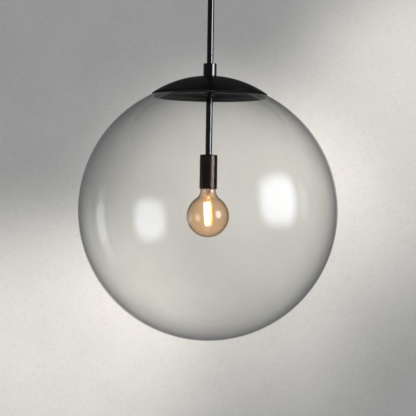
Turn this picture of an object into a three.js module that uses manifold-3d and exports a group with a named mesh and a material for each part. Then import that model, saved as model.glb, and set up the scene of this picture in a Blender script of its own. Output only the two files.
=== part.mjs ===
// Clear glass globe pendant: ceiling canopy, swivel, two rods, domed cap, glass globe, socket and bulb.
// Millimetres, +Z up. The origin is on the lamp's axis, in the plane of the ceiling it hangs from.

import * as THREE from 'three'
import { mergeVertices } from 'three/addons/utils/BufferGeometryUtils.js'
import Module from 'manifold-3d'

const wasm = await Module()
wasm.setup()

// Fits
const seatGap = 0.3 // between pieces that rest on, screw into or pass through each other
const runGap = 0.06 // between the swivel pin and the holes it turns in

// Facets round each kind of turned piece
const fineSides = 36
const midSides = 20
const smallSides = 12

// Ceiling box and the bracket that screws to it
const boxSpacingMin = 70
const boxSpacingMax = 89
const slotHalfWidth = 2.6
const slotEndMargin = 7
const bracketWidth = 20
const bracketThickness = 2
const bracketBoreRadius = 5.25
const studSpacing = 50
const studRadius = 2
const screwHoleRadius = 2.4
const groundScrewX = -14

// Canopy
const canopyHeight = 25
const canopyWall = 1.5
const canopyMargin = 7
const canopyCorner = 6
const capNutRadius = 5
const capNutHeight = 8.5
const capNutCrown = 2.5 // solid brass below the stud's end
const nutWall = 1.5 // from a small nut's thread to its flats
const studNutHeight = 3

// Swivel
const yokeRadius = 11.5
const yokeBaseHeight = 8
const earHalfWidth = 7
const earThickness = 5
const earRoot = 1
const tongueThickness = 7
const pinRadius = 2.5
const pinHeadRadius = 4.4
const pinHeadHeight = 2.4
const pinNutHeight = 3.2
const threadProud = 0.5 // thread that shows past a nut
const yokeToTongue = 2
const earToKnuckle = 3.5
const knuckleShoulder = 1.5
const knuckleBaseHeight = 8
const knuckleRoot = 1 // how far the tongue runs into its base
const spigotLength = 10
const swivelWasherLap = 5
const swivelWasherThickness = 1.2
const swivelNutWall = 3.5
const swivelNutHeight = 5
const swivelThreadProud = 2

// Rods, the threaded nipples in their ends and the cable through them
const rodRadius = 6.5
const rodWall = 1.5
const upperRodLength = 152
const lowerStemLength = 192
const nippleReach = 11
const cableRadius = 2.7
const cableClearance = 0.55
const leadClearance = 0.55

// Glass globe, and its height on the lower stem at the ring where the pads hold it
const globeRadius = 250
const glassWall = 3
const glassDrop = 74.7
const facetSag = 0.7 // most that a facet near the glass's mouth may cut inside the sphere
const lowerGlassSteps = 9

// Domed cap, which covers the glass's edge, with its gasket and collar
const capRadius = 111.75
const capDoming = 8.6 // how much more the dome rises than the glass under it
const capWall = 1.5
const capOverlap = 19.75
const gasketThickness = 1
const gasketWidth = 3
const collarWall = 6.5
const collarHeight = 23.8
const collarChamfer = 0.8
const setScrewRadius = 2
const setScrewHeight = 14
const setScrewSunk = 0.5

// Support bar under the glass
const barEdge = 1.2 // steel left on each side of the rod's hole
const barThickness = 2.5
const barHumpRise = 3.5
const barHumpMargin = 11 // flat steel out past the washer
const barShoulder = 6 // from the glass's mouth in to where the strip bends
const padLength = 10
const padThickness = 2
const padSetIn = 2
const barNutWall = 3
const barNutHeight = 5
const barWasherLap = 4.5
const barWasherThickness = 1.5

// Bulb base and the socket made round it
const baseRadius = 13.1
const baseWall = 0.5
const baseHeight = 20
const baseInsulatorHeight = 3.7
const baseTipHeight = 1.7
const shellWall = 0.5
const bodyWall = 1.3
const bodyHeight = 44
const cupWall = 1.2
const cupHeight = 66
const cupCorner = 2
const socketNutWall = 2
const socketNutHeight = 3
const terminalSpace = 14.4
const contactRadius = 5
const contactThickness = 0.9
const contactRise = 4.5 // from the base shell's top edge to the socket's contact
const rivetRadius = 1.5
const wiringRoom = 13 // hollow in the top of the insulator, for the cable's ends

// Bulb glass and what it holds
const bulbRadius = 41
const bulbWall = 0.8
const neckFlare = 1.9
const neckFillet = 20
const neckStraight = 1.5
const shoulderHeight = 4.5
const neckInBase = 5.5
const neckGap = 0.5 // between the base shell's rim and the glass's shoulder
const stemRadius = 4
const stemFlareGap = 1
const filamentRadius = 1.5
const wireRadius = 0.4
const filamentHeight = 43
const anchorHeight = 14
const anchorClearance = 8.7
const leadRise = 6
const filamentTopRing = 6.5
const filamentBottomRing = 3
const filamentTurn = 20

// Heights down the lamp, from the ceiling plane at 0
const canopyFloor = canopyWall - canopyHeight
const yokeTop = -canopyHeight - seatGap
const yokeBase = yokeTop - yokeBaseHeight
const pinHeight = yokeBase - yokeToTongue - earHalfWidth
const knuckleTop = pinHeight - earHalfWidth - earToKnuckle
const knuckleBottom = knuckleTop - knuckleBaseHeight
const upperRodTop = knuckleBottom - seatGap
const upperRodBottom = upperRodTop - upperRodLength
const stemTop = upperRodBottom - seatGap
const stemBottom = stemTop - lowerStemLength
const cupTop = stemBottom - seatGap

// Radii that follow from the ones above
const slotOuter = boxSpacingMax / 2 + slotHalfWidth
const slotInner = boxSpacingMin / 2 - slotHalfWidth
const bracketHalf = slotOuter + slotEndMargin
const canopyRadius = bracketHalf + canopyMargin + canopyWall
const rodBore = rodRadius - rodWall
const nippleRadius = rodBore - seatGap
const nippleBore = cableRadius + cableClearance
const leadRadius = 0.4 * cableRadius // the cable's three cores, which part above the swivel
const overNipple = nippleRadius + seatGap
const overRod = rodRadius + seatGap
const knuckleBaseRadius = rodRadius + knuckleShoulder
const collarRadius = rodRadius + collarWall
const barWidth = 2 * (overRod + barEdge)
const barWasherRadius = rodRadius + barWasherLap
const barHumpHalf = barWasherRadius + barHumpMargin
const mouthRadius = capRadius - capOverlap
const innerRadius = globeRadius - glassWall
const shellInner = baseRadius + seatGap
const shellOuter = shellInner + shellWall
const bodyBore = shellOuter + seatGap
const bodyRadius = bodyBore + bodyWall
const cupInner = bodyRadius + seatGap
const cupRadius = cupInner + cupWall
const neckRadius = baseRadius + neckFlare
const neckInner = baseRadius - baseWall - seatGap
const stemFlareRadius = neckInner - bulbWall - stemFlareGap

// The pads' flat tops clear the facets of the glass along it and across it
const padMid = mouthRadius + padSetIn + padLength / 2
const padReach = padMid + padLength / 2
const acrossSag = barWidth / 2 * Math.tan(Math.PI / fineSides) * padReach / innerRadius
const alongSag = padLength ** 2 / (8 * innerRadius)
const glassClearance = seatGap + facetSag + acrossSag + alongSag

// The glass hangs on the two pads; the cap rests on the glass
const globeCentre = stemTop - glassDrop - Math.sqrt(innerRadius ** 2 - padMid ** 2)
const outerGlass = (r) => globeCentre + Math.sqrt(globeRadius ** 2 - r ** 2)
const capRim = outerGlass(capRadius - capWall) + gasketThickness + 2 * seatGap
const capRise = globeRadius - Math.sqrt(globeRadius ** 2 - capRadius ** 2) + capDoming
const capSphere = (capRadius ** 2 + capRise ** 2) / (2 * capRise)
const capCentre = capRim + capRise - capSphere
const collarBottom = capRim + capRise + seatGap
const padSlope = Math.atan(padMid / Math.sqrt(innerRadius ** 2 - padMid ** 2))

// Heights inside the socket, downwards
const locknutTop = cupTop - cupWall - seatGap
const bodyTop = cupTop - cupWall - terminalSpace
const bodyBottom = bodyTop - bodyHeight
const contactTop = bodyBottom + baseHeight + contactRise
const baseTip = contactTop - contactThickness - seatGap
const insulatorTop = baseTip - baseTipHeight - seatGap
const baseTop = insulatorTop - baseInsulatorHeight - seatGap
const baseBottom = baseTop - baseHeight

// Heights down the bulb
const neckTop = baseBottom - neckGap
const shoulderBottom = neckTop - shoulderHeight
const filletCentre = shoulderBottom - neckStraight
const bulbCentre = filletCentre - Math.sqrt((bulbRadius + neckFillet) ** 2 - (neckRadius + neckFillet) ** 2)
const anchorBottom = bulbCentre - bulbRadius + bulbWall + anchorClearance
const filamentBottom = anchorBottom + anchorHeight
const filamentTop = filamentBottom + filamentHeight
const glassStemBottom = filamentTop + leadRise

const blackMetal = { color: 0x17181a, roughness: 0.38, metalness: 0.6 }
const zincSteel = { color: 0xb4b6b8, roughness: 0.4, metalness: 1 }
const brass = { color: 0xb58b3e, roughness: 0.3, metalness: 1 }
const clearGlass = { color: 0xe8ebea, roughness: 0.02, metalness: 0, transparent: true, opacity: 0.25 }
const amberGlass = { color: 0xc08a4e, roughness: 0.03, metalness: 0, transparent: true, opacity: 0.5 }
const stemGlass = { color: 0xdfe3e0, roughness: 0.05, metalness: 0, transparent: true, opacity: 0.5 }
const rubber = { color: 0x1c1c1c, roughness: 0.8, metalness: 0 }
const phenolic = { color: 0x231f1c, roughness: 0.6, metalness: 0 }
const blackPlastic = { color: 0x101010, roughness: 0.6, metalness: 0 }
const whitePlastic = { color: 0xe4e1d8, roughness: 0.6, metalness: 0 }
const greenPaint = { color: 0x2c7a3c, roughness: 0.5, metalness: 0.4 }
const bareWire = { color: 0xc9b79a, roughness: 0.35, metalness: 1 }
const phosphor = { color: 0xffd27a, roughness: 0.6, metalness: 0 }

const lamp = new THREE.Group()

function add(name, geometry, finish) {
  const mesh = new THREE.Mesh(geometry, new THREE.MeshStandardMaterial(finish))
  mesh.name = name
  lamp.add(mesh)
  return mesh
}

// A profile of [radius, height] points, walked counter-clockwise, turned about the lamp's axis
function turned(profile, sides) {
  const points = profile.map(([radius, height]) => new THREE.Vector2(radius, height))
  return new THREE.LatheGeometry(points, sides).rotateX(Math.PI / 2)
}

function disc(radius, bottom, top, sides) {
  return turned([[0, bottom], [radius, bottom], [radius, top], [0, top]], sides)
}

function ring(inner, outer, bottom, top, sides) {
  return turned([[inner, bottom], [outer, bottom], [outer, top], [inner, top], [inner, bottom]], sides)
}

function arc(centreRadius, centreHeight, radius, from, to, steps) {
  return Array.from({ length: steps + 1 }, (_, i) => {
    const angle = from + (to - from) * i / steps
    return [centreRadius + radius * Math.cos(angle), centreHeight + radius * Math.sin(angle)]
  })
}

// A flat outline in X and Z, given a thickness along Y and centred on y
function plateAlongY(shape, thickness, y) {
  const plate = new THREE.ExtrudeGeometry(shape, { depth: thickness, bevelEnabled: false, curveSegments: 10 })
  return plate.rotateX(Math.PI / 2).translate(0, y + thickness / 2, 0)
}

function polygon(points) {
  return new THREE.Shape(points.map(([x, y]) => new THREE.Vector2(x, y)))
}

function circlePath(x, y, radius) {
  return new THREE.Path().absarc(x, y, radius, 0, 2 * Math.PI, true)
}

// A hexagonal nut on the lamp's axis, from bottom up
function hexNut(flats, bore, bottom, height) {
  const corner = flats / Math.sqrt(3)
  const shape = polygon(Array.from({ length: 6 }, (_, i) => {
    const angle = i * Math.PI / 3
    return [corner * Math.cos(angle), corner * Math.sin(angle)]
  }))
  shape.holes.push(circlePath(0, 0, bore))
  const nut = new THREE.ExtrudeGeometry(shape, { depth: height, bevelEnabled: false, curveSegments: 8 })
  return nut.translate(0, 0, bottom)
}

// A round wire or cable through the given points
function wire(points, radius, sides, steps) {
  const section = polygon(Array.from({ length: sides }, (_, i) => {
    const angle = 2 * Math.PI * i / sides
    return [radius * Math.cos(angle), radius * Math.sin(angle)]
  }))
  const extrudePath = new THREE.CatmullRomCurve3(points.map((point) => new THREE.Vector3(...point)))
  return new THREE.ExtrudeGeometry(section, { steps, extrudePath, bevelEnabled: false })
}

// A straight round stick between two points
function stick(from, to, radius, sides) {
  const start = new THREE.Vector3(...from)
  const along = new THREE.Vector3(...to).sub(start)
  const up = new THREE.Vector3(0, 0, 1)
  const turn = new THREE.Quaternion().setFromUnitVectors(up, along.clone().normalize())
  return disc(radius, 0, along.length(), sides).applyQuaternion(turn).translate(...from)
}

function toSolid(geometry) {
  const bare = geometry.clone()
  bare.deleteAttribute('normal')
  bare.deleteAttribute('uv')
  const merged = mergeVertices(bare, 1e-4)
  const corners = merged.index.array
  const kept = []
  for (let i = 0; i < corners.length; i += 3) {
    const [a, b, c] = [corners[i], corners[i + 1], corners[i + 2]]
    if (a !== b && b !== c && c !== a) kept.push(a, b, c)
  }
  return new wasm.Manifold(new wasm.Mesh({
    numProp: 3,
    vertProperties: new Float32Array(merged.attributes.position.array),
    triVerts: new Uint32Array(kept),
  }))
}

function toGeometry(solid) {
  const mesh = solid.getMesh()
  const geometry = new THREE.BufferGeometry()
  geometry.setAttribute('position', new THREE.BufferAttribute(new Float32Array(mesh.vertProperties), 3))
  geometry.setIndex(new THREE.BufferAttribute(new Uint32Array(mesh.triVerts), 1))
  geometry.computeVertexNormals()
  return geometry
}

function cut(base, ...tools) {
  return toGeometry(tools.reduce((solid, tool) => solid.subtract(toSolid(tool)), toSolid(base)))
}

function join(base, ...others) {
  return toGeometry(others.reduce((solid, other) => solid.add(toSolid(other)), toSolid(base)))
}

// The radius of a faceted hole whose flats, not its corners, lie at the given distance
function holeRadius(clear, sides) {
  return clear / Math.cos(Math.PI / sides)
}

function ceilingCanopy() {
  const outer = canopyRadius - canopyCorner
  const innerCorner = canopyCorner - canopyWall
  const shell = turned([
    [overNipple, -canopyHeight],
    ...arc(outer, canopyCorner - canopyHeight, canopyCorner, -Math.PI / 2, 0, 3),
    [canopyRadius, 0],
    [canopyRadius - canopyWall, 0],
    ...arc(outer, canopyCorner - canopyHeight, innerCorner, 0, -Math.PI / 2, 3),
    [overNipple, canopyFloor],
    [overNipple, -canopyHeight],
  ], fineSides)
  const holes = [-1, 1].map((side) => {
    const hole = disc(screwHoleRadius, -canopyHeight - 1, canopyFloor + 1, smallSides)
    return hole.translate(side * studSpacing / 2, 0, 0)
  })
  add('ceiling_canopy', cut(shell, ...holes), blackMetal)
}

function mountingBracket() {
  const half = bracketWidth / 2
  const shape = new THREE.Shape()
  shape.absarc(bracketHalf - half, 0, half, -Math.PI / 2, Math.PI / 2, false)
  shape.absarc(half - bracketHalf, 0, half, Math.PI / 2, 1.5 * Math.PI, false)
  shape.holes.push(circlePath(0, 0, bracketBoreRadius), circlePath(groundScrewX, 0, screwHoleRadius))
  for (const side of [-1, 1]) {
    shape.holes.push(circlePath(side * studSpacing / 2, 0, screwHoleRadius))
    const slot = new THREE.Path()
    const ends = [side * (slotInner + slotHalfWidth), side * (slotOuter - slotHalfWidth)]
    const [low, high] = [Math.min(...ends), Math.max(...ends)]
    slot.absarc(high, 0, slotHalfWidth, Math.PI / 2, -Math.PI / 2, true)
    slot.absarc(low, 0, slotHalfWidth, -Math.PI / 2, -1.5 * Math.PI, true)
    shape.holes.push(slot)
  }
  const settings = { depth: bracketThickness, bevelEnabled: false, curveSegments: 5 }
  const bar = new THREE.ExtrudeGeometry(shape, settings)
  add('mounting_bracket', bar.translate(0, 0, -bracketThickness), zincSteel)
}

// On each side a stud hangs from the bracket through the canopy, locked above and closed by a round nut
function canopyFixings() {
  const nutTop = -canopyHeight - seatGap
  const nutBottom = nutTop - capNutHeight
  const nutBore = studRadius + seatGap
  const domeCentre = nutBottom + capNutRadius
  const boreEnd = nutBottom + capNutCrown
  const locknutBottom = -bracketThickness - seatGap - studNutHeight
  for (const [side, x] of [['left', -studSpacing / 2], ['right', studSpacing / 2]]) {
    const stud = disc(studRadius, boreEnd + threadProud, -seatGap, smallSides)
    add(`canopy_stud_${side}`, stud.translate(x, 0, 0), zincSteel)
    const locknut = hexNut(2 * (studRadius + nutWall), nutBore, locknutBottom, studNutHeight)
    add(`stud_locknut_${side}`, locknut.translate(x, 0, 0), zincSteel)
    const capNut = turned([
      ...arc(0, domeCentre, capNutRadius, -Math.PI / 2, 0, 4),
      [capNutRadius, nutTop],
      [nutBore, nutTop],
      [nutBore, boreEnd],
      [0, boreEnd],
    ], smallSides)
    add(`canopy_nut_${side}`, capNut.translate(x, 0, 0), blackMetal)
  }
}

function groundScrew() {
  const headTop = -bracketThickness - seatGap
  const headRadius = 4
  const headHeight = 2.6
  const headEdge = 0.6
  const screw = turned([
    [0, headTop - headHeight],
    [headRadius - headEdge, headTop - headHeight],
    [headRadius, headTop - headHeight + headEdge],
    [headRadius, headTop],
    [studRadius, headTop],
    [studRadius, -seatGap],
    [0, -seatGap],
  ], smallSides)
  add('ground_screw', screw.translate(groundScrewX, 0, 0), greenPaint)
}

// Fixture leads out of the swivel's nipple, and the two connectors that join them to the supply
function leadsAndConnectors() {
  const spread = nippleBore - leadRadius - leadClearance
  const low = yokeBase + 3
  const bend = canopyFloor + 9
  const high = -bracketThickness - 3.5
  const room = high - bend
  const rest = canopyFloor + 8.5
  const side = spread * Math.cos(Math.PI / 6)
  const back = spread * Math.sin(Math.PI / 6)
  const turnX = 13
  const connectorY = 24
  const connector = turned([
    [0, 16], [2.6, 16], [2.6, 0], [4.8, 0], [5.2, 4], [3.9, 15], [2.8, 18], [0, 18],
  ], smallSides).rotateX(-Math.PI / 2)
  for (const [name, way, finish] of [['live', 1, blackPlastic], ['neutral', -1, whitePlastic]]) {
    const route = [
      [way * side, back, low], [way * side, back, bend - 3], [way * side, back, bend - 1],
      [way * 3, 4, high - 1.5], [way * 8, 11, high - 1.5], [way * (turnX - 0.5), 17, (high + rest) / 2 - 1],
      [way * turnX, connectorY - 1.5, rest], [way * turnX, connectorY + 6, rest],
    ]
    add(`${name}_lead`, wire(route, leadRadius, 8, 18), finish)
    add(`${name}_connector`, connector.clone().translate(way * turnX, connectorY, rest), whitePlastic)
  }
  const toScrew = [
    [0, -spread, low], [0, -spread, bend - 3], [0, -spread, bend - 1], [-1, -3.5, bend + 0.4 * room],
    [-6, -4, bend + 0.75 * room], [groundScrewX + 4.5, 0, high],
  ]
  add('ground_lead', wire(toScrew, leadRadius, 8, 14), greenPaint)
}

// A round base with two ears, which turns in the canopy and carries the pin
function swivelYoke() {
  const base = ring(overNipple, yokeRadius, yokeBase, yokeTop, midSides)
  const inner = tongueThickness / 2 + seatGap
  const ear = new THREE.Shape()
  ear.moveTo(earHalfWidth, yokeBase + earRoot)
  ear.lineTo(-earHalfWidth, yokeBase + earRoot)
  ear.absarc(0, pinHeight, earHalfWidth, Math.PI, 2 * Math.PI, false)
  ear.holes.push(circlePath(0, pinHeight, holeRadius(pinRadius + runGap, midSides)))
  const ears = [-1, 1].map((side) => {
    return plateAlongY(ear, earThickness, side * (inner + earThickness / 2))
  })
  add('swivel_yoke', join(base, ...ears), blackMetal)
}

function swivelHardware() {
  const washerBottom = canopyFloor + seatGap
  const washerTop = washerBottom + swivelWasherThickness
  const nutBottom = washerTop + seatGap
  const nippleTop = nutBottom + swivelNutHeight + swivelThreadProud
  const nippleBottom = yokeBase + earRoot + seatGap
  const flats = 2 * (overNipple + swivelNutWall)
  add('swivel_nipple', ring(nippleBore, nippleRadius, nippleBottom, nippleTop, midSides), zincSteel)
  const washerRadius = overNipple + swivelWasherLap
  add('swivel_washer', ring(overNipple, washerRadius, washerBottom, washerTop, midSides), zincSteel)
  add('swivel_nut', hexNut(flats, overNipple, nutBottom, swivelNutHeight), zincSteel)
}

// A headed pin along Y through ears and tongue, held by a small nut at the back
function swivelPin() {
  const face = tongueThickness / 2 + seatGap + earThickness
  const headInner = face + seatGap
  const headOuter = headInner + pinHeadHeight
  const headEdge = 0.8
  const end = headInner + pinNutHeight + 0.8
  const pin = turned([
    [0, -headOuter],
    [pinHeadRadius - headEdge, -headOuter],
    [pinHeadRadius, headEdge - headOuter],
    [pinHeadRadius, -headInner],
    [pinRadius, -headInner],
    [pinRadius, end],
    [0, end],
  ], midSides)
  add('swivel_pin', pin.rotateX(-Math.PI / 2).translate(0, 0, pinHeight), zincSteel)
  const nut = hexNut(2 * (pinRadius + nutWall), pinRadius + seatGap, headInner, pinNutHeight)
  add('swivel_pin_nut', nut.rotateX(-Math.PI / 2).translate(0, 0, pinHeight), zincSteel)
}

// The tongue on the pin, with a turned base that screws into the top of the upper rod
function swivelKnuckle() {
  const rootHalf = 5
  const tongue = new THREE.Shape()
  tongue.moveTo(rootHalf, knuckleTop - knuckleRoot)
  tongue.lineTo(earHalfWidth, pinHeight)
  tongue.absarc(0, pinHeight, earHalfWidth, 0, Math.PI, false)
  tongue.lineTo(-rootHalf, knuckleTop - knuckleRoot)
  tongue.holes.push(circlePath(0, pinHeight, holeRadius(pinRadius + runGap, midSides)))
  const plate = plateAlongY(tongue, tongueThickness, 0)
  const base = turned([
    [0, knuckleTop - 3],
    [nippleBore, knuckleTop - 3],
    [nippleBore, knuckleBottom - spigotLength],
    [nippleRadius, knuckleBottom - spigotLength],
    [nippleRadius, knuckleBottom],
    [knuckleBaseRadius, knuckleBottom],
    [knuckleBaseRadius, knuckleTop - 1],
    [knuckleBaseRadius - 1, knuckleTop],
    [0, knuckleTop],
  ], midSides)
  add('swivel_knuckle', join(base, plate), blackMetal)
}

function rods() {
  const joint = (upperRodBottom + stemTop) / 2
  add('upper_rod', ring(rodBore, rodRadius, upperRodBottom, upperRodTop, midSides), blackMetal)
  const nipple = ring(nippleBore, nippleRadius, joint - nippleReach, joint + nippleReach, midSides)
  add('rod_nipple', nipple, zincSteel)
  add('lower_stem', ring(rodBore, rodRadius, stemBottom, stemTop, midSides), blackMetal)
  add('lamp_cable', disc(cableRadius, bodyTop - wiringRoom + 1, knuckleTop - 4, 10), blackPlastic)
}

function glassGlobe() {
  const lip = Math.acos(mouthRadius / globeRadius)
  const steps = Math.ceil(lip / (2 * Math.acos(1 - facetSag / globeRadius)))
  const globe = turned([
    ...arc(0, globeCentre, globeRadius, -Math.PI / 2, 0, lowerGlassSteps),
    ...arc(0, globeCentre, globeRadius, 0, lip, steps).slice(1),
    ...arc(0, globeCentre, innerRadius, lip, 0, steps),
    ...arc(0, globeCentre, innerRadius, 0, -Math.PI / 2, lowerGlassSteps).slice(1),
  ], fineSides)
  add('glass_globe', globe, clearGlass)
}

// A strip across the glass's mouth, humped at the stem and sloped at its ends to follow the glass
function supportBar() {
  const padTop = stemTop - glassDrop - glassClearance / Math.cos(padSlope)
  const barTop = padTop - (padThickness + seatGap) / Math.cos(padSlope)
  const slope = Math.tan(padSlope)
  const shoulder = mouthRadius - barShoulder
  const endTop = barTop - slope * padLength / 2
  const shoulderTop = barTop - slope * (shoulder - padMid)
  const humpTop = shoulderTop + barHumpRise
  const upper = [[padReach, endTop], [shoulder, shoulderTop], [barHumpHalf, humpTop]]
  const outline = [...upper, ...upper.map(([x, z]) => [-x, z]).reverse()]
  const under = outline.map(([x, z]) => [x, z - barThickness]).reverse()
  const strip = plateAlongY(polygon([...outline, ...under]), barWidth, 0)
  const hole = disc(overRod, humpTop - barThickness - 1, humpTop + 1, midSides)
  add('support_bar', cut(strip, hole), blackMetal)

  for (const [side, way] of [['left', -1], ['right', 1]]) {
    const [near, far] = [padReach - padLength, padReach]
    const top = (x) => padTop - slope * (x - padMid)
    const low = padThickness / Math.cos(padSlope)
    const corners = [[near, top(near)], [near, top(near) - low], [far, top(far) - low], [far, top(far)]]
    const pad = plateAlongY(polygon(corners.map(([x, z]) => [way * x, z])), barWidth, 0)
    add(`bar_pad_${side}`, pad, rubber)
  }

  const flats = 2 * (rodRadius + barNutWall)
  const lowerTop = humpTop - barThickness - seatGap
  const washerBottom = humpTop + seatGap
  const upperBottom = washerBottom + barWasherThickness + seatGap
  add('bar_nut_lower', hexNut(flats, overRod, lowerTop - barNutHeight, barNutHeight), blackMetal)
  const washer = ring(overRod, barWasherRadius, washerBottom, washerBottom + barWasherThickness, midSides)
  add('bar_washer', washer, zincSteel)
  add('bar_nut_upper', hexNut(flats, overRod, upperBottom, barNutHeight), blackMetal)
}

function capAssembly() {
  const rimAngle = Math.asin((capRim - capCentre) / capSphere)
  const innerSphere = capSphere - capWall
  const boreAngle = Math.acos(overRod / capSphere)
  const innerRim = Math.asin((capRim - capCentre) / innerSphere)
  const dome = [
    ...arc(0, capCentre, capSphere, rimAngle, boreAngle, 7),
    ...arc(0, capCentre, innerSphere, Math.acos(overRod / innerSphere), innerRim, 7),
  ]
  add('shade_cap', turned([...dome, dome[0]], fineSides), blackMetal)

  const gasketInner = capRadius - gasketWidth
  const gasketTop = capRim - seatGap
  const gasket = turned([
    [gasketInner, outerGlass(gasketInner) + seatGap],
    [capRadius, outerGlass(capRadius) + seatGap],
    [capRadius, gasketTop],
    [gasketInner, gasketTop],
    [gasketInner, outerGlass(gasketInner) + seatGap],
  ], fineSides)
  add('cap_gasket', gasket, rubber)

  const collarTop = collarBottom + collarHeight
  const collar = turned([
    [overRod, collarBottom],
    [collarRadius, collarBottom],
    [collarRadius, collarTop - collarChamfer],
    [collarRadius - collarChamfer, collarTop],
    [overRod, collarTop],
    [overRod, collarBottom],
  ], midSides)
  const screwHeight = collarBottom + setScrewHeight
  const hole = disc(setScrewRadius + seatGap, 0, collarRadius + 1, smallSides)
  hole.rotateX(-Math.PI / 2).translate(0, 0, screwHeight)
  add('cap_collar', cut(collar, hole), blackMetal)
  const screw = disc(setScrewRadius, overRod, collarRadius - setScrewSunk, smallSides)
  add('collar_set_screw', screw.rotateX(-Math.PI / 2).translate(0, 0, screwHeight), blackMetal)
}

function socket() {
  const lip = cupTop - cupHeight
  const cup = turned([
    [cupInner, lip],
    [cupRadius - cupWall / 3, lip],
    [cupRadius, lip + 2 * cupWall / 3],
    ...arc(cupRadius - cupCorner, cupTop - cupCorner, cupCorner, 0, Math.PI / 2, 3),
    [overNipple, cupTop],
    [overNipple, cupTop - cupWall],
    [cupInner, cupTop - cupWall],
    [cupInner, lip],
  ], midSides)
  add('socket_cup', cup, blackMetal)
  const nippleTop = stemBottom + nippleReach
  add('socket_nipple', ring(nippleBore, nippleRadius, bodyTop + 1, nippleTop, midSides), zincSteel)
  const flats = 2 * (overNipple + socketNutWall)
  add('socket_locknut', hexNut(flats, overNipple, locknutTop - socketNutHeight, socketNutHeight), zincSteel)

  const wiringFloor = bodyTop - wiringRoom
  const body = turned([
    [bodyBore, bodyBottom],
    [bodyRadius, bodyBottom],
    [bodyRadius, bodyTop],
    [nippleBore, bodyTop],
    [nippleBore, wiringFloor],
    [rivetRadius + seatGap, wiringFloor],
    [rivetRadius + seatGap, contactTop + seatGap],
    [bodyBore, contactTop + seatGap],
    [bodyBore, bodyBottom],
  ], midSides)
  add('socket_body', body, phenolic)
  add('screw_shell', ring(shellInner, shellOuter, bodyBottom, contactTop - 2, midSides), brass)
  const contact = turned([
    [0, contactTop - contactThickness],
    [contactRadius, contactTop - contactThickness],
    [contactRadius, contactTop],
    [rivetRadius, contactTop],
    [rivetRadius, wiringFloor - 1],
    [0, wiringFloor - 1],
  ], smallSides)
  add('centre_contact', contact, brass)
}

function bulbShell() {
  const reach = Math.asin((filletCentre - bulbCentre) / (bulbRadius + neckFillet))
  const outer = [
    ...arc(0, bulbCentre, bulbRadius, -Math.PI / 2, 0, 6),
    ...arc(0, bulbCentre, bulbRadius, 0, reach, 4).slice(1),
    ...arc(neckRadius + neckFillet, filletCentre, neckFillet, Math.PI + reach, Math.PI, 3).slice(1),
    [neckRadius, shoulderBottom],
    [neckInner, neckTop],
    [neckInner, neckTop + neckInBase],
  ]
  const inner = [
    [neckInner - bulbWall, neckTop + neckInBase],
    [neckInner - bulbWall, neckTop - 0.2],
    [neckRadius - bulbWall, shoulderBottom - 0.2],
    ...arc(neckRadius + neckFillet, filletCentre, neckFillet + bulbWall, Math.PI, Math.PI + reach, 3),
    ...arc(0, bulbCentre, bulbRadius - bulbWall, reach, 0, 4).slice(1),
    ...arc(0, bulbCentre, bulbRadius - bulbWall, 0, -Math.PI / 2, 6).slice(1),
  ]
  add('bulb_glass', turned([...outer, ...inner], midSides), amberGlass)
}

function bulbBase() {
  add('bulb_base_shell', ring(baseRadius - baseWall, baseRadius, baseBottom, baseTop, midSides), zincSteel)
  const insulator = turned([
    [0, baseTop + seatGap],
    [baseRadius - 0.7, baseTop + seatGap],
    [contactRadius, insulatorTop],
    [0, insulatorTop],
  ], midSides)
  add('bulb_base_insulator', insulator, phenolic)
  const tip = turned([
    [0, insulatorTop + seatGap],
    [contactRadius - 0.5, insulatorTop + seatGap],
    [contactRadius - 1.5, baseTip - 0.2],
    [0, baseTip],
  ], smallSides)
  add('bulb_base_contact', tip, zincSteel)
}

// The glass mount, the lead wires out of it, four filaments and the wires that join them below
function bulbInside() {
  const flareTop = neckTop + neckInBase - 1
  const stem = turned([
    [0, glassStemBottom],
    [stemRadius * 0.6, glassStemBottom],
    [stemRadius, glassStemBottom + 8],
    [stemRadius, flareTop - 8],
    [stemFlareRadius, flareTop],
    [0, flareTop],
  ], smallSides)
  add('bulb_stem', stem, stemGlass)

  const turn = filamentTurn * Math.PI / 180
  const ends = [0, 1, 2, 3].map((i) => {
    const angle = turn + i * Math.PI / 2
    const low = i === 0 ? filamentTopRing + 1 : filamentBottomRing
    return {
      top: [filamentTopRing * Math.cos(angle), filamentTopRing * Math.sin(angle), filamentTop],
      bottom: [low * Math.cos(angle), low * Math.sin(angle), filamentBottom],
    }
  })
  ends.forEach(({ top, bottom }, i) => {
    add(`filament_${i + 1}`, stick(bottom, top, filamentRadius, 8), phosphor)
  })
  const clear = wireRadius + seatGap
  for (const [side, end, way] of [['left', ends[2], -1], ['right', ends[0], 1]]) {
    const [x, y] = end.top
    const lead = stick([x, y, filamentTop + clear], [way * 1.2, 0, glassStemBottom - seatGap], wireRadius, 6)
    add(`bulb_lead_${side}`, lead, bareWire)
    const [lowX, lowY] = end.bottom
    const foot = [1.5 + way * 5, 0, anchorBottom]
    const anchor = stick([lowX, lowY, filamentBottom - clear], foot, wireRadius, 6)
    add(`filament_anchor_${side}`, anchor, bareWire)
  }
}

ceilingCanopy()
mountingBracket()
canopyFixings()
groundScrew()
leadsAndConnectors()
swivelYoke()
swivelHardware()
swivelPin()
swivelKnuckle()
rods()
glassGlobe()
supportBar()
capAssembly()
socket()
bulbShell()
bulbBase()
bulbInside()

export default lamp
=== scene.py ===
import math

import bmesh
import bpy
from mathutils import Matrix, Vector


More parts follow.
